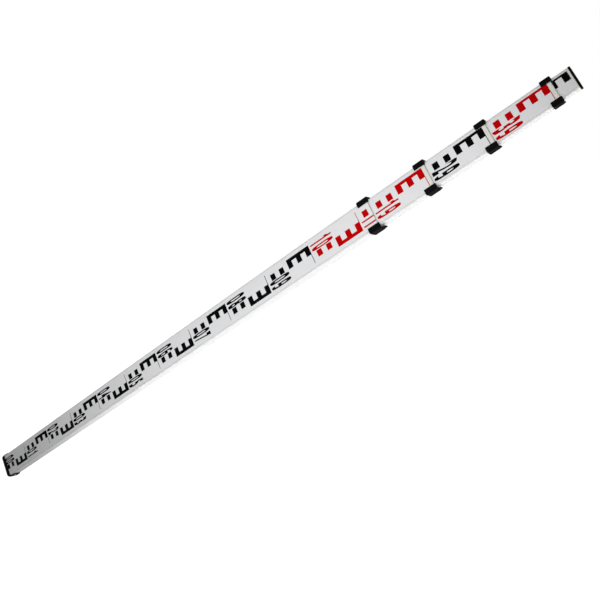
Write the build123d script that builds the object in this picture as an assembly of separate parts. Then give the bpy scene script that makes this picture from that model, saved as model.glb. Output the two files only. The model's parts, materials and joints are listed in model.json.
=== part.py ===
"""Telescopic levelling staff: five nested aluminium sections with side latches, modelled closed.

Frame: +Z runs up the staff from the underside of the foot, which is the zero of the graduation.
The graduated front face looks towards -Y, and the latch levers are on the +X side.
"""
import os

from build123d import *

# Edges are picked by their place to within this distance
NEAR = 0.01

# Sections: widths and depths step down so that each tube slides in the one before
SECTIONS = 5
TUBE_WIDTH = 50.0
TUBE_DEPTH = 26.0
WIDTH_STEP = 3.7
DEPTH_STEP = 3.4
WALL = 1.1
TUBE_CORNER = 3.0
RIM_WIDTH = 3.4
FACE_RECESS = 0.35

# Heights of the closed staff: the first tube's end, what each later one shows, and the last one's end
FIRST_TOP = 1126.2
SHOWN_STEP = 105.9
LAST_SHOWN = 28.5

# Travels that bring each section's graduation into line with the one below it
TRAVELS = {2: 773.8, 3: 894.1, 4: 894.1, 5: 968.8}

# Foot shoe and top cap
SHOE_HEIGHT = 10.0
SHOE_FLOOR = 4.0
SHOE_WALL = 2.0
SHOE_CORNER = 7.0
SHOE_EDGE = 1.2
CHEEK_HEIGHT = 21.0
CHEEK_CORNER = 5.0
SPIGOT_TOP = 16.0
CAP_THICKNESS = 3.4
CAP_OVERHANG = 0.2
CAP_EDGE = 0.9
CAP_SPIGOT = 12.0
CAP_RIVET_DROP = 6.0

# Plugs that close the lower ends of the sliding tubes and rest one on another
PLUG_FLANGE = 8.0
PLUG_PITCH = 20.0
PLUG_CLEARANCE = 0.2
PLUG_POCKET = 5.0
PLUG_WEB = 2.4
PLUG_RIVET_LIFT = 6.0

# Bushes that line the tube mouths
BUSH_DEPTH = 16.0
BUSH_FLANGE = 0.6
BUSH_CLEARANCE = 0.15
BUSH_FLANGE_INSET = 0.2

# Side blocks of the latches: a thick front part with a lip on the graduated face, and a strap round the back
BLOCK_DROP = 19.0
BLOCK_DROP_STEP = 1.3
BLOCK_RISE = 2.8
BLOCK_THICKNESS = 3.2
BLOCK_THICKNESS_STEP = 0.35
BLOCK_BACK_SHARE = 0.25
BLOCK_PROUD = 1.8
BLOCK_LIP = 6.2
BLOCK_EDGE = 1.6
LIP_EDGE = 0.7
COLLAR_CLEARANCE = 0.35
COLLAR_CHAMFER = 1.2
STRAP_SHARE = 0.25
STRAP_LIP = 9.0
STRAP_INSET = 2.0
WINDOW_SILL = 1.6

# Plain blocks on the other side, which are a little shorter and thinner out faster
GUIDE_LIFT = 0.9
GUIDE_THICKNESS = 3.4
GUIDE_THICKNESS_STEP = 0.55

# Latch levers: shares of the depth of the tube
LEVER_SHARE = 0.4
LATCH_FORWARD_SHARE = 0.1

# Latch levers: shares of the thickness of the side block
PIVOT_SHARE = 0.5
PIN_SHARE = 0.22
BOSS_SHARE = 0.42
CROWN_SHARE = 0.15
TIP_SHARE = 0.3
TAIL_GAP_SHARE = 0.6
TAIL_REACH_SHARE = 1.4
PEG_SEAT_SHARE = 0.44

# Latch levers: plain distances
LEVER_SIDE_GAP = 0.35
LEVER_GAP = 0.5
LEVER_PROUD = 0.1
TAB_RISE = 7.2
TAB_RISE_STEP = 1.35
TAB_EDGE = 1.8
NECK_LIFT = 0.6
GRIP_GROOVES = 3
GRIP_PITCH = 1.7
GRIP_RADIUS = 0.35
PIVOT_LIFT = 6.5
PIVOT_FIT = 0.05
PIN_INSET = 2.0
PIN_SINK = 0.4

# Lock pegs and the holes that they pass through and drop into
PEG_DROP = 3.8
PEG_RADIUS = 1.7
PEG_RIDE_GAP = 0.3
PEG_TIP = 0.4
PEG_PASSAGE = 2.5
LOCK_HOLE = 2.2

# Leaf springs under the lever tails
SPRING_STRIP = 0.25
SPRING_SHARE = 0.75
SPRING_GAP = 0.05

# Rivets
RIVET_RADIUS = 1.0
RIVET_HEAD = 1.9
RIVET_DOME = 0.8
RIVET_CROWN = 0.65
RIVET_SHARES = (0.3, 0.7)
RIVET_INSET = 5.3
PLUG_RIVET_RADIUS = 1.6
PLUG_RIVET_DEPTH = 5.0
SHOE_RIVET_DEPTH = 6.0
SHOE_RIVET_HEIGHT = 11.0


def width(k):
    """Outer width of section k."""
    return TUBE_WIDTH - WIDTH_STEP * (k - 1)


def depth(k):
    """Outer depth of section k, over its rims."""
    return TUBE_DEPTH - DEPTH_STEP * (k - 1)


def top(k):
    """Height of the upper end of tube k on the closed staff."""
    if k == SECTIONS:
        return top(k - 1) + LAST_SHOWN
    return FIRST_TOP + SHOWN_STEP * (k - 1)


def seat(k):
    """Height of the face that the plug of section k rests on."""
    return SPIGOT_TOP + PLUG_PITCH * (k - 2)


def bottom(k):
    """Height of the lower end of tube k."""
    if k == 1:
        return SHOE_FLOOR
    return seat(k) + PLUG_FLANGE


def block_low(k):
    """Height of the lower end of the latch housing on tube k."""
    return top(k) - BLOCK_DROP + BLOCK_DROP_STEP * (k - 1)


def block_high(k):
    """Height of the upper end of the side blocks on tube k."""
    return top(k) + BLOCK_RISE


def block_thickness(k):
    """How far the thick part of the latch housing stands out from tube k."""
    return BLOCK_THICKNESS - BLOCK_THICKNESS_STEP * (k - 1)


def guide_thickness(k):
    """How far the thick part of the plain block stands out from tube k."""
    return GUIDE_THICKNESS - GUIDE_THICKNESS_STEP * (k - 1)


def block_front(k):
    """Y of the front of a side block's lip."""
    return -(depth(k) / 2 + BLOCK_PROUD)


def block_back(k):
    """Y of the back end of a side block's thick part."""
    return BLOCK_BACK_SHARE * depth(k)


def strap_thickness(k):
    """Thickness of the strap that runs from a side block round the back of tube k."""
    return STRAP_SHARE * block_thickness(k)


def latch_y(k):
    """Y of the middle of the lever, peg and spring on tube k."""
    return -LATCH_FORWARD_SHARE * depth(k)


def pivot_height(k):
    """Height of the lever's pin on tube k."""
    return block_low(k) + PIVOT_LIFT


def pivot_x(k):
    """X of the lever's pin on tube k."""
    return width(k) / 2 + PIVOT_SHARE * block_thickness(k)


def pin_radius(k):
    """Radius of the lever's pin on tube k."""
    return PIN_SHARE * block_thickness(k)


def boss_radius(k):
    """Radius of the lever's boss round its pin on tube k."""
    return BOSS_SHARE * block_thickness(k)


def tail_low(k):
    """Height of the lower end of the lever on tube k."""
    return pivot_height(k) - TAIL_REACH_SHARE * block_thickness(k)


def tab_high(k):
    """Height of the tip of the lever's tab on tube k."""
    return top(k) + TAB_RISE - TAB_RISE_STEP * (k - 1)


def lever_face(k):
    """X of the outermost line of the lever on tube k."""
    return width(k) / 2 + block_thickness(k) + LEVER_PROUD


def peg_end(k):
    """X of the bottom of the lock peg's seat in the lever on tube k."""
    return width(k) / 2 + LEVER_GAP + PEG_SEAT_SHARE * block_thickness(k)


def lever_width(k):
    """Width of the lever across the narrow side of tube k."""
    return LEVER_SHARE * depth(k)


def upright(sketch, low, high):
    """Extrudes a sketch of the XY plane from one height to another."""
    return extrude(Pos(0, 0, low) * sketch, amount=high - low)


def along_x(radius, start, end, y, z):
    """A round bar along X between two places."""
    return Pos((start + end) / 2, y, z) * Rot(0, 90, 0) * Cylinder(radius, abs(end - start))


def along_y(radius, start, end, x, z):
    """A round bar along Y between two places."""
    return Pos(x, (start + end) / 2, z) * Rot(90, 0, 0) * Cylinder(radius, abs(end - start))


def envelope(k):
    """Outer outline of tube k without its recessed faces."""
    return RectangleRounded(width(k), depth(k), TUBE_CORNER)


def cavity(k, clearance=0.0):
    """Inner outline of tube k, less a clearance all round."""
    inset = 2 * (WALL + clearance)
    return RectangleRounded(width(k) - inset, depth(k) - inset, TUBE_CORNER - WALL)


def tube_profile(k):
    """Section of tube k: a thin box whose broad faces lie back between two rims."""
    profile = envelope(k)
    for side in (-1, 1):
        place = Pos(0, side * (depth(k) - FACE_RECESS) / 2)
        profile -= place * Rectangle(width(k) - 2 * RIM_WIDTH, FACE_RECESS)
    return profile - cavity(k)


def rivet_lines(k):
    """Heights of the rivets that hold the side blocks of tube k."""
    height = top(k) - block_low(k)
    return [top(k) - height * share for share in RIVET_SHARES]


def rivet_offset(k):
    """Distance of those rivets from the staff's middle plane."""
    return width(k) / 2 - RIVET_INSET


def make_tube(k):
    """Tube k with the holes for its rivets, its lock peg and the peg of the tube around it."""
    tube = upright(tube_profile(k), bottom(k), top(k))
    side = width(k) / 2
    back = depth(k) / 2
    if k < SECTIONS:
        tube -= along_x(PEG_PASSAGE, side - 2 * WALL, side + WALL, latch_y(k), top(k) - PEG_DROP)
        for x in (-rivet_offset(k), rivet_offset(k)):
            for z in rivet_lines(k):
                tube -= along_y(RIVET_RADIUS, back - 2 * WALL, back + WALL, x, z)
    if k > 1:
        lock_height = top(k - 1) - PEG_DROP - TRAVELS[k]
        tube -= along_x(LOCK_HOLE, side - 2 * WALL, side + WALL, latch_y(k - 1), lock_height)
        tube -= along_x(PLUG_RIVET_RADIUS, -side - WALL, side + WALL, 0, bottom(k) + PLUG_RIVET_LIFT)
    if k == SECTIONS:
        tube -= along_x(PLUG_RIVET_RADIUS, -side - WALL, side + WALL, 0, top(k) - CAP_RIVET_DROP)
    if k == 1:
        tube -= along_x(RIVET_RADIUS, -side - WALL, side + WALL, 0, SHOE_RIVET_HEIGHT)
    return tube


def make_foot_shoe():
    """Moulded shoe round the first tube's lower end, with a cheek on each narrow side and a spigot inside it."""
    outer_width = width(1) + 2 * SHOE_WALL
    outer_depth = depth(1) + 2 * SHOE_WALL
    shoe = upright(RectangleRounded(outer_width, outer_depth, SHOE_CORNER), 0, SHOE_HEIGHT)
    shoe = fillet(shoe.faces().sort_by(Axis.Z)[-1].edges(), SHOE_EDGE)
    shoe = fillet(shoe.faces().sort_by(Axis.Z)[0].edges(), SHOE_EDGE / 2)
    cheeks = upright(Rectangle(outer_width, depth(1) - 2 * TUBE_CORNER), SHOE_FLOOR, CHEEK_HEIGHT)
    shoulders = cheeks.faces().sort_by(Axis.Z)[-1].edges().filter_by(Axis.X)
    shoe += fillet(shoulders, CHEEK_CORNER)
    shoe -= upright(envelope(1), SHOE_FLOOR, CHEEK_HEIGHT)
    shoe += upright(cavity(1), SHOE_FLOOR, SPIGOT_TOP)
    reach = width(1) / 2 + SHOE_WALL
    for side in (-1, 1):
        start = side * (reach - SHOE_RIVET_DEPTH)
        shoe -= along_x(RIVET_RADIUS, start, side * (reach + WALL), 0, SHOE_RIVET_HEIGHT)
    return shoe


def make_top_cap():
    """Flat cap over the last tube's end, with a hollow spigot inside it."""
    k = SECTIONS
    plate = RectangleRounded(
        width(k) + 2 * CAP_OVERHANG, depth(k) + 2 * CAP_OVERHANG, TUBE_CORNER + CAP_OVERHANG
    )
    cap = upright(plate, top(k), top(k) + CAP_THICKNESS)
    cap = fillet(cap.faces().sort_by(Axis.Z)[-1].edges(), CAP_EDGE)
    cap += upright(cavity(k), top(k) - CAP_SPIGOT, top(k))
    cap -= upright(cavity(k, PLUG_WEB), top(k) - CAP_SPIGOT, top(k) - PLUG_WEB)
    side = width(k) / 2
    cap -= along_x(PLUG_RIVET_RADIUS, -side, side, 0, top(k) - CAP_RIVET_DROP)
    return cap


def make_end_plug(k):
    """Plug in tube k's lower end: a sliding flange below the tube and a spigot inside it."""
    flange = cavity(k - 1, PLUG_CLEARANCE)
    plug = upright(flange, seat(k), bottom(k))
    plug += upright(cavity(k), bottom(k), seat(k) + PLUG_PITCH)
    pocket = upright(cavity(k, PLUG_WEB), seat(k), seat(k) + PLUG_POCKET)
    pocket -= Pos(0, 0, seat(k)) * Box(PLUG_WEB, depth(k), 2 * PLUG_POCKET)
    plug -= pocket
    side = width(k) / 2
    for sign in (-1, 1):
        plug -= along_x(
            PLUG_RIVET_RADIUS, sign * (side - PLUG_RIVET_DEPTH), sign * side, 0, bottom(k) + PLUG_RIVET_LIFT
        )
    return plug


def make_mouth_bush(k):
    """Thin bush between tube k's mouth and the tube that slides in it."""
    inner = RectangleRounded(
        width(k + 1) + 2 * BUSH_CLEARANCE, depth(k + 1) + 2 * BUSH_CLEARANCE, TUBE_CORNER + BUSH_CLEARANCE
    )
    rim = RectangleRounded(
        width(k) - 2 * BUSH_FLANGE_INSET, depth(k) - 2 * BUSH_FLANGE_INSET, TUBE_CORNER - BUSH_FLANGE_INSET
    )
    bush = upright(cavity(k), top(k) - BUSH_DEPTH, top(k))
    bush += upright(rim, top(k), top(k) + BUSH_FLANGE)
    bush -= upright(inner, top(k) - BUSH_DEPTH, top(k) + BUSH_FLANGE)
    side = width(k) / 2
    return bush - along_x(PEG_PASSAGE, side - 4 * WALL, side, latch_y(k), top(k) - PEG_DROP)


def on_collar(k, place):
    """Whether a place lies on the upper edge of the opening that the next tube slides through."""
    reach_x = width(k + 1) / 2 + COLLAR_CLEARANCE + NEAR
    reach_y = depth(k + 1) / 2 + COLLAR_CLEARANCE + NEAR
    return abs(place.X) < reach_x and abs(place.Y) < reach_y and place.Z > block_high(k) - NEAR


def make_side_block(k, side, low, thick):
    """Moulded block over one narrow side of tube k, with a front lip, a collar over the tube's end and a strap."""
    high = block_high(k)
    front, back = block_front(k), block_back(k)
    strap = strap_thickness(k)
    outline = Pos(0, (front + back) / 2) * RectangleRounded(width(k) + 2 * thick, back - front, thick)
    block = upright(outline, low, high)
    ends = block.faces().sort_by(Axis.Z)
    block = fillet(ends[0].edges() + ends[-1].edges(), BLOCK_EDGE)
    band = RectangleRounded(width(k) + 2 * strap, depth(k) + 2 * strap, TUBE_CORNER + strap)
    block += upright(band, low + STRAP_INSET, top(k) - STRAP_INSET)
    block -= upright(envelope(k), low, top(k) + BUSH_FLANGE)
    passage = RectangleRounded(
        width(k + 1) + 2 * COLLAR_CLEARANCE, depth(k + 1) + 2 * COLLAR_CLEARANCE, TUBE_CORNER + COLLAR_CLEARANCE
    )
    block -= upright(passage, top(k), high)
    block = chamfer(block.edges().filter_by(lambda edge: on_collar(k, edge.center())), COLLAR_CHAMFER)
    middle = (low + high) / 2
    outer = width(k) / 2 + 2 * thick
    keep = Part()
    for reach, way in ((BLOCK_LIP, -1), (STRAP_LIP, 1)):
        inner = width(k) / 2 - reach
        span = Box(outer - inner, depth(k), high - low)
        keep += Pos(side * (inner + outer) / 2, way * depth(k) / 2, middle) * span
    block = block & keep
    inner_face = width(k) / 2 - BLOCK_LIP
    lip_edges = block.edges().filter_by(Axis.Z).filter_by(
        lambda edge: abs(abs(edge.center().X) - inner_face) < NEAR and abs(edge.center().Y - front) < NEAR
    )
    block = fillet(lip_edges, LIP_EDGE)
    for z in rivet_lines(k):
        block -= along_y(RIVET_RADIUS, 0, depth(k), side * rivet_offset(k), z)
    return block


def make_guide_block(k):
    """Plain side block on the side away from the latch."""
    return make_side_block(k, -1, block_low(k) + GUIDE_LIFT, guide_thickness(k))


def make_latch_housing(k):
    """Side block cut down behind its lip, with a window for the lever and a hole for its pin, drilled from the back."""
    housing = make_side_block(k, 1, block_low(k), block_thickness(k))
    side = width(k) / 2
    low, high = block_low(k) + WINDOW_SILL, block_high(k)
    inner, outer = side - WIDTH_STEP / 2, side + 2 * block_thickness(k)
    opening = Box(outer - inner, lever_width(k) + 2 * LEVER_SIDE_GAP, high - low)
    housing -= Pos((inner + outer) / 2, latch_y(k), (low + high) / 2) * opening
    shelf, lip_back = top(k) + BUSH_FLANGE, -(depth(k + 1) / 2 + COLLAR_CLEARANCE)
    room = Box(outer - inner, depth(k), high - shelf)
    housing -= Pos((inner + outer) / 2, lip_back + depth(k) / 2, (shelf + high) / 2) * room
    start = block_front(k) + PIN_INSET
    return housing - along_y(pin_radius(k), start, block_back(k), pivot_x(k), pivot_height(k))


def lever_outline(k):
    """Side view of the lever of tube k: a crowned outer face, a tab that flares above and a tail below the pin."""
    thick = block_thickness(k)
    low, high = tail_low(k), tab_high(k)
    inner = width(k) / 2 + LEVER_GAP
    face = lever_face(k)
    edge = face - CROWN_SHARE * thick
    tail_in = (width(k) / 2 + TAIL_GAP_SHARE * thick, low)
    tail_out = (edge, low)
    tab_out = (edge, high)
    tab_in = (edge - TIP_SHARE * thick, high)
    neck = (inner, top(k) - PEG_DROP + PEG_RADIUS + NECK_LIFT)
    hollow = (inner + (tab_in[0] - inner) / 4, (neck[1] + high) / 2)
    knee = (inner, pivot_height(k) + boss_radius(k) / 2)
    outline = Line(tail_in, tail_out)
    outline += ThreePointArc(tail_out, (face, (low + high) / 2), tab_out)
    outline += Line(tab_out, tab_in)
    outline += ThreePointArc(tab_in, hollow, neck)
    outline += Line(neck, knee)
    outline += Line(knee, tail_in)
    return make_face(outline) + Pos(pivot_x(k), pivot_height(k)) * Circle(boss_radius(k))


def swept_across(k, sketch, span):
    """Extrudes a sketch drawn as X and Z by a span across the narrow side, centred on the latch of tube k."""
    return Pos(0, latch_y(k), 0) * extrude(Plane.XZ * sketch, amount=span / 2, both=True)


def make_latch_lever(k):
    """Lever with a finger tab, grip grooves, a bore for its pin and a seat for the lock peg."""
    lever = swept_across(k, lever_outline(k), lever_width(k))
    high = tab_high(k)
    tab_edges = lever.edges().filter_by(Axis.X).filter_by(lambda edge: edge.center().Z > high - NEAR)
    lever = fillet(tab_edges, TAB_EDGE)
    lever -= along_y(pin_radius(k) + PIVOT_FIT, -depth(k), depth(k), pivot_x(k), pivot_height(k))
    lever -= along_x(PEG_RADIUS, width(k) / 2, peg_end(k), latch_y(k), top(k) - PEG_DROP)
    groove_x = lever_face(k) - CROWN_SHARE * block_thickness(k) / 2
    for i in range(GRIP_GROOVES):
        lever -= along_y(GRIP_RADIUS, -depth(k), depth(k), groove_x, high - GRIP_PITCH * (i + 1))
    return lever


def make_lock_peg(k):
    """Steel peg in the lever, whose tip rides beside the sliding tube."""
    tip = width(k + 1) / 2 + PEG_RIDE_GAP
    peg = along_x(PEG_RADIUS, tip, peg_end(k), latch_y(k), top(k) - PEG_DROP)
    tip_edge = peg.edges().filter_by(GeomType.CIRCLE).sort_by(Axis.X)[0]
    return chamfer(tip_edge, PEG_TIP)


def make_latch_pin(k):
    """Steel pin across the housing that the lever turns on, sunk below the rounded back of the block."""
    corner = block_thickness(k)
    offset = PIVOT_SHARE * block_thickness(k)
    back = block_back(k) - corner + (corner**2 - offset**2) ** 0.5
    return along_y(pin_radius(k), block_front(k) + PIN_INSET, back - PIN_SINK, pivot_x(k), pivot_height(k))


def make_latch_spring(k):
    """Bent strip between the tube's side and the lever's tail, open towards the sill."""
    side = width(k) / 2
    low = tail_low(k)
    lift = SPRING_STRIP / 2 + SPRING_GAP
    tail_gap = TAIL_GAP_SHARE * block_thickness(k)
    slope = (tail_gap - LEVER_GAP) / (pivot_height(k) + boss_radius(k) / 2 - low)
    foot = (side + lift, low)
    fold = (side + lift, pivot_height(k) - boss_radius(k))
    toe = (side + tail_gap - slope * SPRING_STRIP - 2 * lift, low + SPRING_STRIP)
    strip = trace(Polyline(foot, fold, toe), SPRING_STRIP)
    return swept_across(k, strip, SPRING_SHARE * lever_width(k))


def make_rivet(radius, head, length):
    """Rivet along +Z: a flat-ended shank below a domed head."""
    rivet = Pos(0, 0, -length / 2) * Cylinder(radius, length)
    dome = Pos(0, 0, RIVET_DOME / 2) * Cylinder(head, RIVET_DOME)
    crown = dome.edges().sort_by(Axis.Z)[-1]
    return rivet + fillet(crown, RIVET_CROWN)


def make_clip_rivets(k):
    """Four rivets through the straps of the side blocks and the back wall of tube k."""
    seat_face = depth(k) / 2 + strap_thickness(k)
    length = strap_thickness(k) + WALL
    rivet = make_rivet(RIVET_RADIUS, RIVET_HEAD, length)
    group = []
    for x in (-rivet_offset(k), rivet_offset(k)):
        for z in rivet_lines(k):
            group.append(Pos(x, seat_face, z) * Rot(-90, 0, 0) * rivet)
    return Compound(children=group)


def make_flush_rivets(k, length, z):
    """Two flush rivets through the narrow sides of tube k."""
    side = width(k) / 2
    group = []
    for sign in (-1, 1):
        group.append(along_x(PLUG_RIVET_RADIUS, sign * (side - length), sign * side, 0, z))
    return Compound(children=group)


def make_foot_rivets():
    """Two domed rivets through the shoe's narrow sides, the tube and the spigot."""
    reach = width(1) / 2 + SHOE_WALL
    rivet = make_rivet(RIVET_RADIUS, RIVET_HEAD, SHOE_RIVET_DEPTH)
    group = []
    for sign in (-1, 1):
        group.append(Pos(sign * reach, 0, SHOE_RIVET_HEIGHT) * Rot(0, sign * 90, 0) * rivet)
    return Compound(children=group)


def make_pieces():
    """Every piece of the staff by its name."""
    pieces = {"foot_shoe": make_foot_shoe(), "foot_rivets": make_foot_rivets()}
    for k in range(1, SECTIONS + 1):
        pieces[f"section_{k}_tube"] = make_tube(k)
    for k in range(1, SECTIONS):
        pieces[f"guide_block_{k}"] = make_guide_block(k)
        pieces[f"latch_housing_{k}"] = make_latch_housing(k)
        pieces[f"latch_lever_{k}"] = make_latch_lever(k)
        pieces[f"latch_pin_{k}"] = make_latch_pin(k)
        pieces[f"latch_spring_{k}"] = make_latch_spring(k)
        pieces[f"lock_peg_{k}"] = make_lock_peg(k)
        pieces[f"mouth_bush_{k}"] = make_mouth_bush(k)
        pieces[f"clip_rivets_{k}"] = make_clip_rivets(k)
    for k in range(2, SECTIONS + 1):
        pieces[f"end_plug_{k}"] = make_end_plug(k)
        pieces[f"plug_rivets_{k}"] = make_flush_rivets(k, PLUG_RIVET_DEPTH, bottom(k) + PLUG_RIVET_LIFT)
    pieces["top_cap"] = make_top_cap()
    cap_rivet_height = top(SECTIONS) - CAP_RIVET_DROP
    pieces["cap_rivets"] = make_flush_rivets(SECTIONS, WALL + PLUG_WEB, cap_rivet_height)
    return pieces


os.makedirs("parts", exist_ok=True)
for name, piece in make_pieces().items():
    export_step(piece, f"parts/{name}.step")
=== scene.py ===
"""Dresses a closed telescopic levelling staff of five sections: print, finishes and a plain stage."""

import json
import math

import bpy
import numpy as np
from bpy.props import FloatProperty, FloatVectorProperty, PointerProperty
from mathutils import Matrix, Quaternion, Vector


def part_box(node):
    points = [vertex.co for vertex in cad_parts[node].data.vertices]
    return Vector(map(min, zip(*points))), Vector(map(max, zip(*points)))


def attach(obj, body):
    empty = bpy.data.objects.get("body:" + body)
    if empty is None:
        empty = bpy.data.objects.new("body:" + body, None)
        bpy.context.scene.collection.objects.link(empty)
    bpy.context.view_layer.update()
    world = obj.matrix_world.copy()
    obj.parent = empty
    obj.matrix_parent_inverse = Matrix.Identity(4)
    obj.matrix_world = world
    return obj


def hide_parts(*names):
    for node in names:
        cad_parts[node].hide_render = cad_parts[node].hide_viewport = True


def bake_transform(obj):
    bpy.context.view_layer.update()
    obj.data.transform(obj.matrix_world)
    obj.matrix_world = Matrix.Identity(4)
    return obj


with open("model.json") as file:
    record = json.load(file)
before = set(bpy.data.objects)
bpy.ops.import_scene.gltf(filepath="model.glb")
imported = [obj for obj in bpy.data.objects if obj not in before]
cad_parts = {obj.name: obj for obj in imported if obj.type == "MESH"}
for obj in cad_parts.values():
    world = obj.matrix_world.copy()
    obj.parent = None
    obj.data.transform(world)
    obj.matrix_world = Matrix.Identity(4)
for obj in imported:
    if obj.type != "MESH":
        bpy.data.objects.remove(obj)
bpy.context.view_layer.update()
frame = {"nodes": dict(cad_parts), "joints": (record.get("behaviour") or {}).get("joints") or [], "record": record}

bl_info = {
    "name": "Levelling staff",
    "version": (1, 0, 0),
    "blender": (4, 5, 0),
    "location": "3D View > Sidebar > Staff",
    "description": "Prints the scales of a telescopic levelling staff and finishes its pieces",
    "category": "Object",
}

# The sections, with the names of their nodes and bodies
SECTIONS = 5
TUBE_NODE = "section_{}_tube"
SPRING_NODE = "latch_spring_{}"
BODY = "section_{}"

# The scale, with the centimetres of a decimetre that its blocks and its E take up
CENTIMETRE = 0.01
DECIMETRE = 0.1
DECIMETRES_PER_METRE = 10
BLOCKS_FROM = 1
BLOCKS_TO = 4
LETTER_FROM = 5
LETTER_TO = 10
LEFT = -1
RIGHT = 1

# The figures, with the ends that are round and the end at which a six or a nine has its tail
LOW_END = -1
HIGH_END = 1
ROUND_ENDS = {
    "0": (LOW_END, HIGH_END),
    "2": (HIGH_END,),
    "3": (LOW_END, HIGH_END),
    "5": (LOW_END,),
    "8": (LOW_END, HIGH_END),
}
TAILS = {"6": HIGH_END, "9": LOW_END}
CURVE_STEPS = 6

# Reach of a one to the left and the right, as shares of a nought's width
ONE_LEFT = 0.4
ONE_RIGHT = 0.28

# Drop and slope of a one's flag, as shares of a bar's height
FLAG_DROP = 0.4
FLAG_SLOPE = 0.8

# Reach of a six's or a nine's middle bar, as a share of half a nought's width
BAR_REACH = 0.9

# Names of the print's finishes
PAINT = "white_paint"
INK = "{}_ink"

# White of the stage
WHITE = (1.0, 1.0, 1.0, 1.0)

# Distances from the film's middle at which the lens is exact, as shares of half the film's side
LENS_SHARES = (0.35, 0.7, 1.05, 1.4)

# Rounds in which the lens is solved
LENS_ROUNDS = 20

# Points that are nearer than this are one point
CLOSE = 1e-6


# Sizes and colours that a user would change

class StaffPrint(bpy.types.PropertyGroup):
    """Sizes of the printed scale and of the latches' leaf springs."""

    recess: FloatProperty(
        name="Face recess", description="Depth of the printed face behind the tube's rims",
        default=0.00035, unit="LENGTH")
    rim: FloatProperty(
        name="Rim", description="Width of the bare rim along each edge of the face",
        default=0.0034, unit="LENGTH")
    paint: FloatProperty(
        name="Paint thickness", description="Thickness of the white panel", default=0.00008, unit="LENGTH")
    ink: FloatProperty(
        name="Ink thickness", description="Thickness of the printed marks", default=0.00005, unit="LENGTH")
    reach: FloatProperty(
        name="Mark reach", description="Reach of an E mark from the middle line of the first section",
        default=0.0164, unit="LENGTH")
    reach_step: FloatProperty(
        name="Reach step", description="Loss of reach from one section to the next",
        default=0.0008, unit="LENGTH")
    spine: FloatProperty(
        name="Mark spine", description="Width of an E mark's spine on the first section",
        default=0.0056, unit="LENGTH")
    spine_step: FloatProperty(
        name="Spine step", description="Loss of spine width from one section to the next",
        default=0.0007, unit="LENGTH")
    block: FloatProperty(
        name="Block length", description="Length of the two single blocks of a decimetre",
        default=0.0108, unit="LENGTH")
    line: FloatProperty(
        name="Line width", description="Width of the line at the end of a decimetre",
        default=0.0011, unit="LENGTH")
    figure_width: FloatProperty(
        name="Figure width", description="Width of a printed nought", default=0.0063, unit="LENGTH")
    figure_height: FloatProperty(
        name="Figure height", description="Height of a printed nought", default=0.0440, unit="LENGTH")
    figure_inner: FloatProperty(
        name="Inner figure", description="Distance of the inner figure from the middle line",
        default=0.0043, unit="LENGTH")
    figure_pitch: FloatProperty(
        name="Figure pitch", description="Distance between the two figures of a number",
        default=0.0084, unit="LENGTH")
    figure_weight: FloatProperty(
        name="Figure weight", description="Thickening of the figures' strokes, as a share of their size",
        default=0.044)
    figure_stem: FloatProperty(
        name="Figure stem", description="Width of a one's stem", default=0.0024, unit="LENGTH")
    figure_bar: FloatProperty(
        name="Figure bar",
        description="Height of a six's or a nine's middle bar, as a share of the figure's height",
        default=0.165)
    figure_fullness: FloatProperty(
        name="Figure fullness", description="Squareness of the figures' round ends, where 2 is an ellipse",
        default=3.2)
    figure_gap: FloatProperty(
        name="Figure gap", description="Gap between a decimetre's line and its figures",
        default=0.0032, unit="LENGTH")
    leaf: FloatProperty(
        name="Leaf thickness", description="Thickness of a leaf spring's strip",
        default=0.00025, unit="LENGTH")


class StaffColours(bpy.types.PropertyGroup):
    """Colours of the finishes."""

    paint: FloatVectorProperty(
        name="Paint", description="White of the printed panel", subtype="COLOR", default=(0.72, 0.72, 0.73))
    black: FloatVectorProperty(
        name="Black ink", description="Ink of the even metres", subtype="COLOR",
        default=(0.0020, 0.0020, 0.0021))
    red: FloatVectorProperty(
        name="Red ink", description="Ink of the odd metres", subtype="COLOR",
        default=(0.48, 0.0004, 0.0016))
    aluminium: FloatVectorProperty(
        name="Aluminium", description="Anodised tubes", subtype="COLOR", default=(0.63, 0.63, 0.63))
    bare: FloatVectorProperty(
        name="Bare ends", description="Turned ends of the tubes, above the print", subtype="COLOR",
        default=(0.60, 0.592, 0.55))
    plastic: FloatVectorProperty(
        name="Black plastic", description="Shoe, cap, blocks and levers", subtype="COLOR",
        default=(0.0050, 0.0046, 0.0048))
    nylon: FloatVectorProperty(
        name="Nylon", description="Bushes and end plugs", subtype="COLOR", default=(0.40, 0.38, 0.35))
    steel: FloatVectorProperty(
        name="Steel", description="Rivets, pins, pegs and springs", subtype="COLOR",
        default=(0.56, 0.56, 0.57))


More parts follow.
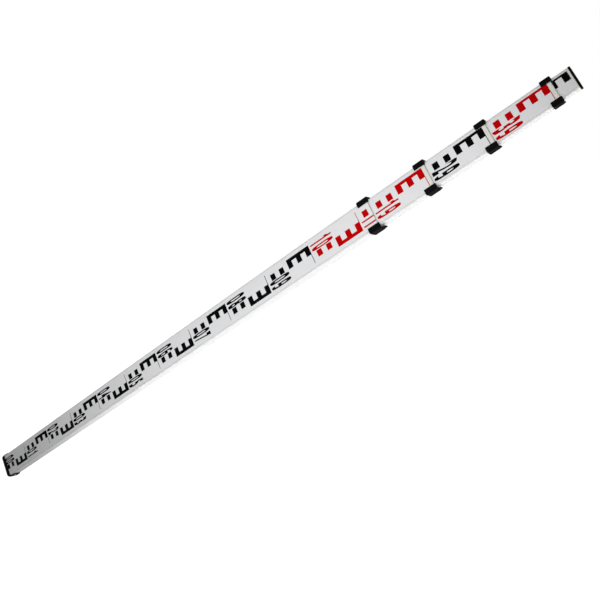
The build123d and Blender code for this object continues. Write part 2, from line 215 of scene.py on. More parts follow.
class StaffStage(bpy.types.PropertyGroup):
    """Camera, lamps and backdrop."""

    camera: FloatVectorProperty(
        name="Camera", description="Place of the camera", subtype="TRANSLATION", unit="LENGTH",
        default=(0.36977, -0.95519, 1.51087))
    aim: FloatVectorProperty(
        name="Aim", description="Point that the camera looks at", subtype="TRANSLATION", unit="LENGTH",
        default=(0.05042, 0.0, 0.93730))
    roll: FloatProperty(
        name="Roll", description="Turn of the camera about its line of sight", subtype="ANGLE",
        default=math.radians(56.872))
    lens: FloatProperty(name="Lens", description="Focal length in millimetres", default=42.0)
    film: FloatProperty(name="Film", description="Side of the square film in millimetres", default=36.0)
    barrel: FloatProperty(
        name="Barrel", description="Inward bowing of the lens at the middle of the frame's edge",
        default=-0.02506)
    key_power: FloatProperty(
        name="Key power", description="Power of the main lamp in watts", default=2.9)
    side_power: FloatProperty(
        name="Side power", description="Power of the tall lamp at the right in watts", default=3.9)
    high_key_power: FloatProperty(
        name="High key power", description="Power of the lamp in front of the drawn-out sections in watts",
        default=6.4)
    high_side_power: FloatProperty(
        name="High side power", description="Power of the lamp beside the drawn-out sections in watts",
        default=6.6)
    fill_power: FloatProperty(
        name="Fill power", description="Power of the tall lamp at the left in watts", default=24.0)
    ambient: FloatProperty(
        name="Ambient", description="Strength of the even light from all round", default=0.25)
    floor: FloatVectorProperty(
        name="Floor", description="Colour of the floor", subtype="COLOR", default=(0.25, 0.25, 0.25))
    floor_side: FloatProperty(
        name="Floor side", description="Side of the square floor", default=40.0, unit="LENGTH")
    floor_glow: FloatProperty(
        name="Floor glow", description="Share of white that the camera sees in the floor", default=0.95)


# Where things are on the staff

def tube_box(section):
    """Lowest and highest corner of one section's tube."""
    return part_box(TUBE_NODE.format(section))


def label_shift(section):
    """How far a section's scale reads above its height at rest: the travel of every slide below it."""
    slides = {f"section_{number}_slide" for number in range(2, section + 1)}
    return sum(joint["range_m"][1] for joint in frame["joints"] if joint["name"] in slides)


def end_reading(section):
    """Reading of the scale at the top end of a section's tube."""
    return tube_box(section)[1].z + label_shift(section)


def printed_decimetres(section):
    """Numbers of the decimetres that are printed on a section."""
    end = int(end_reading(section) / DECIMETRE)
    if section == 1:
        return range(0, end + 1)
    return range(int(end_reading(section - 1) / DECIMETRE), end)


def print_limits(section):
    """Heights between which a section is printed."""
    low, high = tube_box(section)
    if section == 1:
        return low.z, high.z
    numbers = printed_decimetres(section)
    shift = label_shift(section)
    return numbers[0] * DECIMETRE - shift, (numbers[-1] + 1) * DECIMETRE - shift


def paint_plane(section):
    """Depth of the bare face on which a section's panel lies."""
    return tube_box(section)[0].y + bpy.context.scene.staff_print.recess


def ink_plane(section):
    """Depth of the painted face on which a section's marks lie."""
    return paint_plane(section) - bpy.context.scene.staff_print.paint


def ink_name(decimetre):
    """Black for the even metres and red for the odd ones."""
    return "red" if decimetre // DECIMETRES_PER_METRE % 2 else "black"


def mark_side(decimetre):
    """The half of the face that carries a decimetre's E mark."""
    return LEFT if decimetre % 2 else RIGHT


# Modelling steps that several pieces share

def select_only(*pieces):
    """Selects some pieces and nothing else, with the first of them active."""
    bpy.ops.object.select_all(action="DESELECT")
    for piece in pieces:
        piece.select_set(True)
    bpy.context.view_layer.objects.active = pieces[0]


def apply_place(piece):
    """Moves a piece's place, turn and scale into its mesh."""
    select_only(piece)
    bpy.ops.object.transform_apply(location=True, rotation=True, scale=True)


def apply_modifier(piece, kind, **settings):
    """Adds a modifier to a piece and applies it."""
    select_only(piece)
    modifier = piece.modifiers.new(kind.title(), kind)
    for name, value in settings.items():
        setattr(modifier, name, value)
    bpy.ops.object.modifier_apply(modifier=modifier.name)


def add_face_grid(across, along, columns, rows, depth=0.0):
    """Adds an upright grid that faces forwards, between two places across and two along the staff."""
    bpy.ops.object.select_all(action="DESELECT")
    left, right = sorted(across)
    low, high = along
    bpy.ops.mesh.primitive_grid_add(
        x_subdivisions=columns, y_subdivisions=rows, size=1.0, rotation=(math.radians(90), 0, 0),
        location=((left + right) / 2, depth, (low + high) / 2))
    grid = bpy.context.active_object
    grid.scale = (right - left, high - low, 1.0)
    apply_place(grid)
    return grid


def clear_selection(piece, kind):
    """Leaves a piece with no point or face selected, ready for some of one kind to be selected."""
    select_only(piece)
    bpy.ops.object.mode_set(mode="EDIT")
    bpy.ops.mesh.select_mode(type=kind)
    bpy.ops.mesh.select_all(action="DESELECT")
    bpy.ops.object.mode_set(mode="OBJECT")


def delete_faces(piece, unwanted):
    """Deletes the faces whose centre passes a test."""
    clear_selection(piece, "FACE")
    for face in piece.data.polygons:
        face.select = unwanted(face.center)
    bpy.ops.object.mode_set(mode="EDIT")
    bpy.ops.mesh.delete(type="FACE")
    bpy.ops.object.mode_set(mode="OBJECT")


def shift_points(piece, wanted, step):
    """Moves the points that pass a test."""
    clear_selection(piece, "VERT")
    for point in piece.data.vertices:
        point.select = wanted(point.co)
    bpy.ops.object.mode_set(mode="EDIT")
    bpy.ops.transform.translate(value=step)
    bpy.ops.object.mode_set(mode="OBJECT")


def thicken(piece, thickness):
    """Gives a flat print its thickness, forwards from where it lies."""
    apply_modifier(piece, "SOLIDIFY", thickness=thickness, offset=1.0)


def cut_off(piece, height, upwards):
    """Cuts a piece level at a height and closes it, dropping what is above or below."""
    select_only(piece)
    bpy.ops.object.mode_set(mode="EDIT")
    bpy.ops.mesh.select_all(action="SELECT")
    bpy.ops.mesh.bisect(
        plane_co=(0, 0, height), plane_no=(0, 0, 1), use_fill=True,
        clear_outer=upwards, clear_inner=not upwards)
    bpy.ops.mesh.select_all(action="SELECT")
    bpy.ops.mesh.dissolve_degenerate(threshold=CLOSE)
    bpy.ops.object.mode_set(mode="OBJECT")


def merge_points(piece):
    """Joins points that lie on one another and turns all faces outwards."""
    select_only(piece)
    bpy.ops.object.mode_set(mode="EDIT")
    bpy.ops.mesh.select_all(action="SELECT")
    bpy.ops.mesh.remove_doubles(threshold=CLOSE)
    bpy.ops.mesh.normals_make_consistent(inside=False)
    bpy.ops.object.mode_set(mode="OBJECT")


def copy_at(pattern, place):
    """Copies a pattern, with its own mesh, to a place."""
    piece = pattern.copy()
    piece.data = pattern.data.copy()
    piece.location = place
    bpy.context.scene.collection.objects.link(piece)
    return piece


def join_pieces(name, pieces):
    """Joins pieces into one that carries its place in its mesh."""
    select_only(*pieces)
    if len(pieces) > 1:
        bpy.ops.object.join()
    joined = bpy.context.active_object
    apply_place(joined)
    joined.name = name
    joined.data.name = name
    return joined


def discard(pieces):
    """Removes patterns that have been copied."""
    for piece in pieces:
        bpy.data.objects.remove(piece)


def finish_piece(piece, material, section):
    """Gives a piece its finish and lets it ride on its section."""
    piece.data.materials.clear()
    piece.data.materials.append(material)
    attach(piece, BODY.format(section))


# Nodes of the finishes

def feed(tree, socket, value):
    """Links a socket to another one, or gives it a value of its own."""
    if isinstance(value, bpy.types.NodeSocket):
        tree.links.new(value, socket)
    else:
        socket.default_value = value


def add_node(tree, kind, inputs=None, **settings):
    """Adds a node with its settings, and feeds its inputs."""
    node = tree.nodes.new(kind)
    for name, value in settings.items():
        setattr(node, name, value)
    for socket, value in (inputs or {}).items():
        feed(tree, node.inputs[socket], value)
    return node


def start_group(name, floats, output):
    """Starts a node group that takes a place and some values and puts out one value."""
    tree = bpy.data.node_groups.new(name, "ShaderNodeTree")
    tree.interface.new_socket("Place", in_out="INPUT", socket_type="NodeSocketVector")
    for socket, value in floats.items():
        made = tree.interface.new_socket(socket, in_out="INPUT", socket_type="NodeSocketFloat")
        made.default_value = value
    tree.interface.new_socket(output, in_out="OUTPUT", socket_type="NodeSocketFloat")
    return tree, tree.nodes.new("NodeGroupInput"), tree.nodes.new("NodeGroupOutput")


def drawn_lines_group():
    """Fine lines along the staff, as drawing or grinding leaves them."""
    tree, given, result = start_group("Drawn lines", {"Lines per metre": 900.0, "Run": 0.01}, "Lines")
    along = add_node(tree, "ShaderNodeMath", {0: given.outputs["Lines per metre"], 1: given.outputs["Run"]},
                     operation="MULTIPLY")
    scale = add_node(tree, "ShaderNodeCombineXYZ", {
        "X": given.outputs["Lines per metre"], "Y": given.outputs["Lines per metre"], "Z": along.outputs[0]})
    stretched = add_node(tree, "ShaderNodeVectorMath", {0: given.outputs["Place"], 1: scale.outputs[0]},
                         operation="MULTIPLY")
    noise = add_node(tree, "ShaderNodeTexNoise", {
        "Vector": stretched.outputs[0], "Scale": 1.0, "Detail": 3.0})
    tree.links.new(noise.outputs["Fac"], result.inputs["Lines"])


def mottle_group():
    """Slow, soft change over a surface."""
    tree, given, result = start_group("Mottle", {"Patches per metre": 60.0}, "Mottle")
    noise = add_node(tree, "ShaderNodeTexNoise", {
        "Vector": given.outputs["Place"], "Scale": given.outputs["Patches per metre"], "Detail": 4.0,
        "Roughness": 0.6})
    spread = add_node(tree, "ShaderNodeMapRange", {
        "Value": noise.outputs["Fac"], "From Min": 0.3, "From Max": 0.7})
    tree.links.new(spread.outputs[0], result.inputs["Mottle"])


def scuff_group():
    """Scattered short scuffs from handling."""
    tree, given, result = start_group("Scuffs", {"Marks per metre": 220.0, "Amount": 0.3}, "Scuffs")
    noise = add_node(tree, "ShaderNodeTexNoise", {
        "Vector": given.outputs["Place"], "Scale": given.outputs["Marks per metre"], "Detail": 6.0,
        "Roughness": 0.7, "Distortion": 0.6})
    seldom_passed = 0.75
    threshold = add_node(tree, "ShaderNodeMath", {
        0: seldom_passed, 1: given.outputs["Amount"]}, operation="SUBTRACT")
    mask = add_node(tree, "ShaderNodeMapRange", {
        "Value": noise.outputs["Fac"], "From Min": threshold.outputs[0], "From Max": 0.78},
        interpolation_type="SMOOTHSTEP")
    tree.links.new(mask.outputs[0], result.inputs["Scuffs"])


def moulded_grain_group():
    """Fine even grain of a spark-eroded mould."""
    tree, given, result = start_group("Moulded grain", {"Grains per metre": 1600.0}, "Grain")
    cells = add_node(tree, "ShaderNodeTexVoronoi", {
        "Vector": given.outputs["Place"], "Scale": given.outputs["Grains per metre"]}, feature="SMOOTH_F1")
    tree.links.new(cells.outputs["Distance"], result.inputs["Grain"])


def turned_end_group():
    """One above a height, nought below it."""
    tree, given, result = start_group("Turned end", {"Height": 1.0}, "End")
    place = add_node(tree, "ShaderNodeSeparateXYZ", {0: given.outputs["Place"]})
    above = add_node(tree, "ShaderNodeMath", {0: place.outputs["Z"], 1: given.outputs["Height"]},
                     operation="GREATER_THAN")
    tree.links.new(above.outputs[0], result.inputs["End"])


class Finish:
    """Builds one procedural finish from the shared groups."""

    def __init__(self, name):
        self.material = bpy.data.materials.new(name)
        self.material.use_nodes = True
        self.tree = self.material.node_tree
        self.shader = self.tree.nodes["Principled BSDF"]
        self.place = self.tree.nodes.new("ShaderNodeTexCoord").outputs["Object"]

    def effect(self, group, **values):
        """Places a shared group and returns its output."""
        inputs = {"Place": self.place}
        inputs.update({name.replace("_", " "): value for name, value in values.items()})
        node = add_node(self.tree, "ShaderNodeGroup", inputs, node_tree=bpy.data.node_groups[group])
        return node.outputs[0]

    def between(self, factor, first, second):
        """A colour between two, by a factor."""
        inputs = {"Factor": factor, "A": first, "B": second}
        return add_node(self.tree, "ShaderNodeMix", inputs, data_type="RGBA").outputs["Result"]

    def spread(self, factor, low, high):
        """A value between two, by a factor."""
        node = add_node(self.tree, "ShaderNodeMapRange", {"Value": factor, "To Min": low, "To Max": high})
        return node.outputs[0]

    def plus(self, first, second):
        """The sum of two values."""
        return add_node(self.tree, "ShaderNodeMath", {0: first, 1: second}, operation="ADD").outputs[0]

    def set(self, **sockets):
        """Sets or links the shader's own sockets."""
        for name, value in sockets.items():
            feed(self.tree, self.shader.inputs[name.replace("_", " ")], value)

    def relief(self, height, depth, strength):
        """Lets a height roughen the surface by a depth."""
        inputs = {"Height": height, "Distance": depth, "Strength": strength}
        bump = add_node(self.tree, "ShaderNodeBump", inputs)
        self.tree.links.new(bump.outputs["Normal"], self.shader.inputs["Normal"])


def opaque(colour):
    """A colour that nothing shows through."""
    return (*colour, 1.0)


def tinted(colour, share):
    """A colour made darker or lighter by a share."""
    return opaque(min(1.0, part * share) for part in colour)


def tube_finish(section, colour, bare):
    """Matt anodised tube with drawing lines along it and soft handling marks, and a bare turned end."""
    finish = Finish(f"section_{section}_anodised")
    end = finish.effect("Turned end", Height=print_limits(section)[1])
    lines = finish.effect("Drawn lines", Lines_per_metre=1400.0, Run=0.004)
    mottle = finish.effect("Mottle", Patches_per_metre=24.0)
    scuffs = finish.effect("Scuffs", Marks_per_metre=90.0, Amount=0.16)
    drawn = finish.between(lines, tinted(colour, 0.93), tinted(colour, 1.06))
    worn = finish.between(scuffs, drawn, tinted(colour, 0.9))
    rough = finish.plus(
        finish.spread(lines, low=0.5, high=0.62), finish.spread(mottle, low=0.0, high=0.06))
    finish.set(
        Base_Color=finish.between(end, worn, opaque(bare)), Roughness=rough,
        Metallic=finish.spread(end, low=0.1, high=0.25), Specular_IOR_Level=0.2)
    finish.relief(lines, depth=0.00002, strength=0.35)
    return finish.material


def paint_finish(colour):
    """Baked white paint with a slight orange peel and faint soiling."""
    finish = Finish(PAINT)
    soil = finish.effect("Mottle", Patches_per_metre=14.0)
    peel = finish.effect("Mottle", Patches_per_metre=420.0)
    finish.set(
        Base_Color=finish.between(soil, tinted(colour, 0.97), tinted(colour, 1.02)),
        Roughness=finish.spread(peel, low=0.42, high=0.55), Specular_IOR_Level=0.2)
    finish.relief(peel, depth=0.00001, strength=0.25)


def ink_finish(name, colour):
    """Screen-printed ink whose density wavers a little."""
    finish = Finish(INK.format(name))
    density = finish.effect("Mottle", Patches_per_metre=300.0)
    screen = finish.effect("Mottle", Patches_per_metre=1500.0)
    finish.set(
        Base_Color=finish.between(density, tinted(colour, 0.88), tinted(colour, 1.1)),
        Roughness=finish.spread(screen, low=0.5, high=0.66), Specular_IOR_Level=0.005)
    finish.relief(screen, depth=0.000004, strength=0.3)


def plastic_finish(name, colour, grains, scuffed):
    """Moulded plastic with a fine grain and pale scuffs."""
    finish = Finish(name)
    grain = finish.effect("Moulded grain", Grains_per_metre=grains)
    mottle = finish.effect("Mottle", Patches_per_metre=130.0)
    scuffs = finish.effect("Scuffs", Marks_per_metre=260.0, Amount=scuffed)
    moulded = finish.between(mottle, tinted(colour, 0.8), tinted(colour, 1.2))
    rough = finish.plus(
        finish.spread(mottle, low=0.45, high=0.58), finish.spread(scuffs, low=0.0, high=0.15))
    finish.set(
        Base_Color=finish.between(scuffs, moulded, tinted(colour, 3.0)), Roughness=rough,
        Specular_IOR_Level=0.007)
    finish.relief(grain, depth=0.00005, strength=0.2)
    return finish.material


def steel_finish(colour):
    """Bright plated steel with fine grinding marks."""
    finish = Finish("plated_steel")
    lines = finish.effect("Drawn lines", Lines_per_metre=4000.0, Run=0.05)
    mottle = finish.effect("Mottle", Patches_per_metre=500.0)
    finish.set(
        Base_Color=finish.between(mottle, tinted(colour, 0.9), tinted(colour, 1.08)),
        Roughness=finish.spread(lines, low=0.22, high=0.4), Metallic=1.0)
    finish.relief(lines, depth=0.00001, strength=0.25)
    return finish.material


def make_finishes():
    """Makes every finish of the staff, and gives those of the carried-over pieces by node or by slot."""
    colours = bpy.context.scene.staff_colours
    drawn_lines_group()
    mottle_group()
    scuff_group()
    moulded_grain_group()
    turned_end_group()
    paint_finish(colours.paint)
    ink_finish("black", colours.black)
    ink_finish("red", colours.red)
    tubes = {
        TUBE_NODE.format(section): tube_finish(section, colours.aluminium, colours.bare)
        for section in range(1, SECTIONS + 1)
    }
    return tubes | {
        "black_plastic": plastic_finish("black_plastic", colours.plastic, grains=1700.0, scuffed=0.16),
        "nylon": plastic_finish("pale_nylon", colours.nylon, grains=2600.0, scuffed=0.1),
        "steel": steel_finish(colours.steel),
    }


# The pieces

class STAFF_OT_finish_nodes(bpy.types.Operator):
    """Makes the finishes and gives every carried-over piece of the staff its own"""

    bl_idname = "staff.finish_nodes"
    bl_label = "Finish tubes and fittings"

    def execute(self, context):
        finishes = make_finishes()
        for subpart in frame["record"]["subparts"]:
            name = subpart["node"]
            node = frame["nodes"][name]
            node.data.materials.clear()
            node.data.materials.append(finishes.get(name) or finishes[subpart["material_slot"]])
        return {"FINISHED"}


class STAFF_OT_add_panels(bpy.types.Operator):
    """Lays a white painted panel in the recessed face of each section"""

    bl_idname = "staff.add_panels"
    bl_label = "Add painted panels"

    def execute(self, context):
        sizes = context.scene.staff_print
        for section in range(1, SECTIONS + 1):
            half = tube_box(section)[1].x - sizes.rim
            panel = add_face_grid(
                (-half, half), print_limits(section), columns=2, rows=12, depth=paint_plane(section))
            thicken(panel, sizes.paint)
            panel = join_pieces(f"section_{section}_panel", [panel])
            finish_piece(panel, bpy.data.materials[PAINT], section)
        return {"FINISHED"}


def in_even_row(at):
    """Whether a place is in an even centimetre of its decimetre."""
    return int(at.z / CENTIMETRE) % 2 == 0


def model_mark(section, side, ruled):
    """Models one decimetre's print: two blocks, an E of three arms and, if it is ruled, a line at its end."""
    sizes = bpy.context.scene.staff_print
    reach = sizes.reach - sizes.reach_step * (section - 1)
    spine = sizes.spine - sizes.spine_step * (section - 1)
    letter = add_face_grid(
        (0, side * reach), (LETTER_FROM * CENTIMETRE, LETTER_TO * CENTIMETRE),
        columns=2, rows=LETTER_TO - LETTER_FROM)
    middle = side * reach / 2
    inner_edge = side * (reach - spine)
    shift_points(letter, lambda at: abs(at.x - middle) < CLOSE, (inner_edge - middle, 0, 0))
    delete_faces(letter, lambda at: in_even_row(at) and abs(at.x) < reach - spine)
    blocks = add_face_grid(
        (0, side * sizes.block), (BLOCKS_FROM * CENTIMETRE, BLOCKS_TO * CENTIMETRE),
        columns=1, rows=BLOCKS_TO - BLOCKS_FROM)
    delete_faces(blocks, in_even_row)
    pieces = [letter, blocks]
    if ruled:
        line = add_face_grid((0, -side * reach), (DECIMETRE - sizes.line, DECIMETRE), columns=4, rows=1)
        pieces.append(line)
    mark = join_pieces("mark", pieces)
    thicken(mark, sizes.ink)
    return mark


class STAFF_OT_add_marks(bpy.types.Operator):
    """Prints the E marks, blocks and decimetre lines of every section"""

    bl_idname = "staff.add_marks"
    bl_label = "Print the marks"

    def execute(self, context):
        last = printed_decimetres(SECTIONS)[-1]
        for section in range(1, SECTIONS + 1):
            shift = label_shift(section)
            patterns = {}
            printed = {}
            for decimetre in printed_decimetres(section):
                form = (mark_side(decimetre), decimetre != last)
                if form not in patterns:
                    patterns[form] = model_mark(section, *form)
                copy = copy_at(patterns[form], (0, ink_plane(section), decimetre * DECIMETRE - shift))
                printed.setdefault(ink_name(decimetre), []).append(copy)
            discard(patterns.values())
            for ink, copies in printed.items():
                marks = join_pieces(f"section_{section}_{ink}_marks", copies)
                cut_off(marks, print_limits(section)[1], upwards=True)
                finish_piece(marks, bpy.data.materials[INK.format(ink)], section)
        return {"FINISHED"}


def fill_out(figure, ends, middle):
    """Squares the round ends of a figure, so that a tall one doesn't run to a point."""
    sizes = bpy.context.scene.staff_print
    fullness = sizes.figure_fullness
    half_width = sizes.figure_width / 2
    half_height = sizes.figure_height / 2
    for point in figure.data.vertices:
        across = abs(point.co.x) / half_width
        along = (point.co.z - middle) / half_height
        end = HIGH_END if along > 0 else LOW_END
        squared = (across ** fullness + abs(along) ** fullness) ** (1 / fullness)
        if end in ends and squared > 0:
            share = math.hypot(across, along) / squared
            point.co.x *= share
            point.co.z = middle + (point.co.z - middle) * share


def add_block(across, along, thickness):
    """Adds a flat block between two places across and two along the staff."""
    bpy.ops.object.select_all(action="DESELECT")
    left, right = sorted(across)
    low, high = sorted(along)
    bpy.ops.mesh.primitive_cube_add(size=1.0, location=((left + right) / 2, 0, (low + high) / 2))
    block = bpy.context.active_object
    block.scale = (right - left, thickness, high - low)
    apply_place(block)
    return block


def combine(piece, operation, block):
    """Adds a block to a flat piece, or cuts it out."""
    apply_modifier(piece, "BOOLEAN", operation=operation, object=block, solver="EXACT")
    discard([block])


def model_one():
    """Models a one: a stem with a flag that slopes down to the left."""
    sizes = bpy.context.scene.staff_print
    top = sizes.figure_gap + sizes.figure_height
    bar = sizes.figure_bar * sizes.figure_height
    left = -sizes.figure_width * ONE_LEFT
    right = sizes.figure_width * ONE_RIGHT
    stem_left = right - sizes.figure_stem
    piece = add_block((stem_left, right), (sizes.figure_gap, top), sizes.ink)
    flag_top = top - FLAG_DROP * bar
    flag = add_block((left, right), (flag_top - bar, flag_top), sizes.ink)
    shift_points(flag, lambda at: at.x < stem_left, (0, 0, -FLAG_SLOPE * bar))
    combine(piece, "UNION", flag)
    return piece


def model_tailed(nought, tail):
    """Models a six or a nine from a nought: a bar closes its loop, and a gap by the bar frees its tail."""
    sizes = bpy.context.scene.staff_print
    piece = copy_at(nought, (0, 0, 0))
    half_width = sizes.figure_width / 2
    half_height = sizes.figure_height / 2
    middle = sizes.figure_gap + half_height
    bar_end = middle + tail * sizes.figure_bar * sizes.figure_height
    bar_reach = half_width * BAR_REACH
    combine(piece, "UNION", add_block((-bar_reach, bar_reach), (middle, bar_end), sizes.ink))
    gap_end = middle + tail * (half_height - sizes.figure_bar * sizes.figure_height)
    gap = add_block((0, tail * sizes.figure_width), (bar_end, gap_end), 2 * sizes.ink)
    combine(piece, "DIFFERENCE", gap)
    return piece


def model_figures():
    """Models the ten tall, narrow figures once, standing at the origin and facing forwards."""
    sizes = bpy.context.scene.staff_print
    figures = {}
    for digit in "0123456789":
        bpy.ops.object.select_all(action="DESELECT")
        bpy.ops.object.text_add(rotation=(math.radians(90), 0, 0))
        figure = bpy.context.active_object
        figure.data.body = digit
        figure.data.align_x = "CENTER"
        figure.data.bevel_depth = sizes.figure_weight
        figure.data.bevel_resolution = 0
        figure.data.resolution_u = CURVE_STEPS
        bpy.ops.object.convert(target="MESH")
        figures[digit] = bpy.context.active_object
    nought = figures["0"].dimensions
    scale = (sizes.figure_width / nought.x, sizes.figure_height / nought.y, sizes.ink / nought.z)
    for figure in figures.values():
        figure.scale = scale
        apply_place(figure)
        merge_points(figure)
    foot = min(point.co.z for point in figures["0"].data.vertices)
    for digit, figure in figures.items():
        fill_out(figure, ROUND_ENDS.get(digit, ()), foot + sizes.figure_height / 2)
        places = [point.co.x for point in figure.data.vertices]
        figure.scale.x = min(1.0, sizes.figure_width / (max(places) - min(places)))
        figure.location.x = -figure.scale.x * (max(places) + min(places)) / 2
        figure.location.z = sizes.figure_gap - foot
        apply_place(figure)
    drawn = {digit: model_tailed(figures["0"], tail) for digit, tail in TAILS.items()}
    drawn["1"] = model_one()
    discard([figures[digit] for digit in drawn])
    figures |= drawn
    select_only(*figures.values())
    bpy.ops.object.shade_flat()
    return figures


class STAFF_OT_add_figures(bpy.types.Operator):
    """Prints the two-figure number of every decimetre"""

    bl_idname = "staff.add_figures"
    bl_label = "Print the figures"

    def execute(self, context):
        sizes = context.scene.staff_print
        figures = model_figures()
        for section in range(1, SECTIONS + 1):
            shift = label_shift(section)
            depth = ink_plane(section) - sizes.ink / 2
            low, high = print_limits(section)
            printed = {}
            for decimetre in printed_decimetres(section):
                half = -mark_side(decimetre)
                inner = half * sizes.figure_inner
                outer = half * (sizes.figure_inner + sizes.figure_pitch)
                tens, units = sorted((inner, outer))
                height = decimetre * DECIMETRE - shift
                for digit, across in zip(f"{decimetre:02d}", (tens, units)):
                    copy = copy_at(figures[digit], (across, depth, height))
                    printed.setdefault(ink_name(decimetre), []).append(copy)
            for ink, copies in printed.items():
                number = join_pieces(f"section_{section}_{ink}_figures", copies)
                cut_off(number, high, upwards=True)
                cut_off(number, low, upwards=False)
                finish_piece(number, bpy.data.materials[INK.format(ink)], section)
        discard(figures.values())
        return {"FINISHED"}


class STAFF_OT_add_leaf_springs(bpy.types.Operator):
    """Puts a copy of each latch's leaf spring in its place, with its points merged, and hides the original"""

    bl_idname = "staff.add_leaf_springs"
    bl_label = "Add the leaf springs"

    def execute(self, context):
        for section in range(1, SECTIONS):
            node = SPRING_NODE.format(section)
            spring = bpy.data.objects.new(f"leaf_spring_{section}", frame["nodes"][node].data.copy())
            context.scene.collection.objects.link(spring)
            merge_points(spring)
            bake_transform(spring)
            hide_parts(node)
        return {"FINISHED"}


# The stage

def white_where_seen(tree, plain, white):
    """Mixes a plain shader with a white one that only the eye and its reflections meet."""
    path = tree.nodes.new("ShaderNodeLightPath")
    seen = add_node(tree, "ShaderNodeMath", {
        0: path.outputs["Is Camera Ray"], 1: path.outputs["Is Glossy Ray"]}, operation="MAXIMUM")
    seen = add_node(tree, "ShaderNodeMath", {
        0: seen.outputs[0], 1: path.outputs["Is Transmission Ray"]}, operation="MAXIMUM")
    mixed = tree.nodes.new("ShaderNodeMixShader")
    tree.links.new(seen.outputs[0], mixed.inputs[0])
    tree.links.new(plain, mixed.inputs[1])
    tree.links.new(white, mixed.inputs[2])
    return mixed.outputs[0]


def light_world(ambient):
    """A white world that lights the staff softly from all round."""
    world = bpy.context.scene.world or bpy.data.worlds.new("World")
    bpy.context.scene.world = world
    world.use_nodes = True
    tree = world.node_tree
    tree.nodes.clear()
    soft = add_node(tree, "ShaderNodeBackground", {"Color": WHITE, "Strength": ambient})
    seen = add_node(tree, "ShaderNodeBackground", {"Color": WHITE, "Strength": 1.0})
    output = tree.nodes.new("ShaderNodeOutputWorld")
    tree.links.new(white_where_seen(tree, soft.outputs[0], seen.outputs[0]), output.inputs["Surface"])


def floor_finish(colour, glow):
    """A white floor that still takes the staff's shadow."""
    material = bpy.data.materials.new("white_floor")
    material.use_nodes = True
    tree = material.node_tree
    tree.nodes.clear()
    matt = add_node(tree, "ShaderNodeBsdfDiffuse", {"Color": opaque(colour)})
    light = add_node(tree, "ShaderNodeEmission", {"Color": WHITE, "Strength": glow})
    both = add_node(tree, "ShaderNodeAddShader", {0: matt.outputs[0], 1: light.outputs[0]})
    output = tree.nodes.new("ShaderNodeOutputMaterial")
    tree.links.new(white_where_seen(tree, matt.outputs[0], both.outputs[0]), output.inputs["Surface"])
    return material


def add_lamp(name, place, aim, size, power):
    """Adds an upright rectangular lamp that faces a point."""
    bpy.ops.object.light_add(type="AREA", location=place)
    lamp = bpy.context.active_object
    lamp.name = name
    lamp.data.shape = "RECTANGLE"
    lamp.data.size, lamp.data.size_y = size
    lamp.data.energy = power
    lamp.rotation_mode = "QUATERNION"
    lamp.rotation_quaternion = (Vector(aim) - Vector(place)).to_track_quat("-Z", "Y")


def lens_terms(focal, barrel, half_film):
    """Four terms that give a bowed lens's angle of sight by the distance from the film's middle."""
    distances = half_film * np.array(LENS_SHARES)
    straight = distances
    for _ in range(LENS_ROUNDS):
        straight = distances / (1 + barrel * (straight / half_film) ** 2)
    angles = np.arctan(straight / focal)
    powers = distances[:, None] ** np.arange(1, len(LENS_SHARES) + 1)
    return np.linalg.solve(powers, -angles)


def fit_lens(camera, focal, film, barrel):
    """Gives a camera a lens that bows straight lines outwards a little, as the wide end of a zoom does."""
    camera.lens = focal
    camera.sensor_width = film
    camera.sensor_height = film
    camera.type = "PANO"
    camera.panorama_type = "FISHEYE_LENS_POLYNOMIAL"
    camera.fisheye_polynomial_k0 = 0.0
    for power, term in enumerate(lens_terms(focal, barrel, film / 2), 1):
        setattr(camera, f"fisheye_polynomial_k{power}", term)


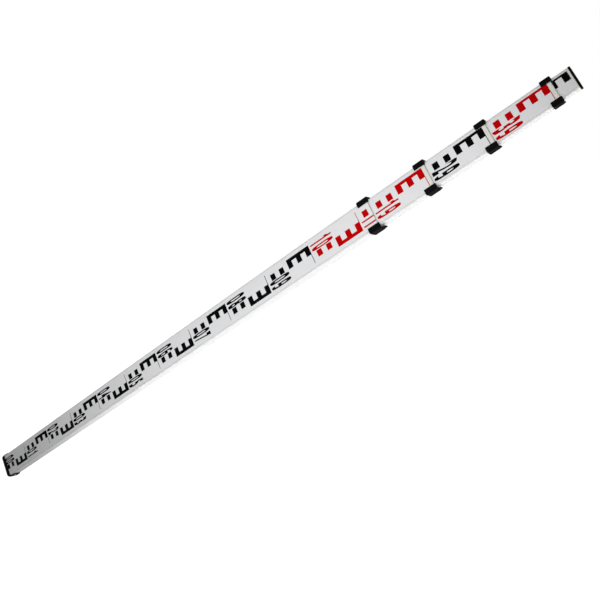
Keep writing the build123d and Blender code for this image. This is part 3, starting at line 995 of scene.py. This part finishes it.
class STAFF_OT_add_stage(bpy.types.Operator):
    """Adds the floor, the lamps, the white surroundings and the camera"""

    bl_idname = "staff.add_stage"
    bl_label = "Add the stage"

    def execute(self, context):
        stage = context.scene.staff_stage
        context.scene.view_settings.view_transform = "Standard"
        bpy.ops.object.select_all(action="DESELECT")
        bpy.ops.mesh.primitive_grid_add(x_subdivisions=4, y_subdivisions=4, size=stage.floor_side)
        floor = context.active_object
        floor.name = "floor"
        floor.data.materials.append(floor_finish(stage.floor, stage.floor_glow))
        light_world(stage.ambient)
        add_lamp(
            "key_lamp", place=(0.06, -0.36, 0.875), aim=(0.06, 0.0, 0.820), size=(0.5, 1.22),
            power=stage.key_power)
        add_lamp(
            "side_lamp", place=(0.265, 0.14, 1.13), aim=(0.0, 0.0, 1.13), size=(0.15, 1.76),
            power=stage.side_power)
        add_lamp(
            "high_key_lamp", place=(0.06, -0.36, 3.575), aim=(0.06, 0.0, 3.575), size=(0.5, 3.25),
            power=stage.high_key_power)
        add_lamp(
            "high_side_lamp", place=(0.265, 0.14, 3.63), aim=(0.0, 0.0, 3.63), size=(0.15, 3.15),
            power=stage.high_side_power)
        add_lamp(
            "fill_lamp", place=(-1.10, 0.60, 2.60), aim=(0.0, 0.0, 2.60), size=(0.8, 4.4),
            power=stage.fill_power)
        bpy.ops.object.camera_add(location=stage.camera)
        camera = context.active_object
        sight = Vector(stage.aim) - Vector(stage.camera)
        camera.rotation_mode = "QUATERNION"
        camera.rotation_quaternion = sight.to_track_quat("-Z", "Y") @ Quaternion((0, 0, 1), stage.roll)
        fit_lens(camera.data, stage.lens, stage.film, stage.barrel)
        context.scene.camera = camera
        return {"FINISHED"}


class STAFF_PT_sidebar(bpy.types.Panel):
    """Lists the staff's sizes, colours and steps"""

    bl_idname = "STAFF_PT_sidebar"
    bl_label = "Levelling staff"
    bl_space_type = "VIEW_3D"
    bl_region_type = "UI"
    bl_category = "Staff"

    def draw(self, context):
        for group in (context.scene.staff_print, context.scene.staff_colours, context.scene.staff_stage):
            box = self.layout.box()
            for name in group.__annotations__:
                box.prop(group, name)
        for step in STEPS:
            self.layout.operator(step.bl_idname)


STEPS = (
    STAFF_OT_finish_nodes,
    STAFF_OT_add_panels,
    STAFF_OT_add_marks,
    STAFF_OT_add_figures,
    STAFF_OT_add_leaf_springs,
    STAFF_OT_add_stage,
)
GROUPS = {"staff_print": StaffPrint, "staff_colours": StaffColours, "staff_stage": StaffStage}


def register():
    """Adds the staff's property groups, operators and panel to Blender."""
    for name, group in GROUPS.items():
        bpy.utils.register_class(group)
        setattr(bpy.types.Scene, name, PointerProperty(type=group))
    for step in (*STEPS, STAFF_PT_sidebar):
        bpy.utils.register_class(step)


def unregister():
    """Takes them out again."""
    for step in (STAFF_PT_sidebar, *reversed(STEPS)):
        bpy.utils.unregister_class(step)
    for name, group in GROUPS.items():
        delattr(bpy.types.Scene, name)
        bpy.utils.unregister_class(group)


def main():
    """Dresses the staff: finishes, print, leaf springs and stage."""
    register()
    bpy.ops.staff.finish_nodes()
    bpy.ops.staff.add_panels()
    bpy.ops.staff.add_marks()
    bpy.ops.staff.add_figures()
    bpy.ops.staff.add_leaf_springs()
    bpy.ops.staff.add_stage()


if __name__ == "__main__":
    main()
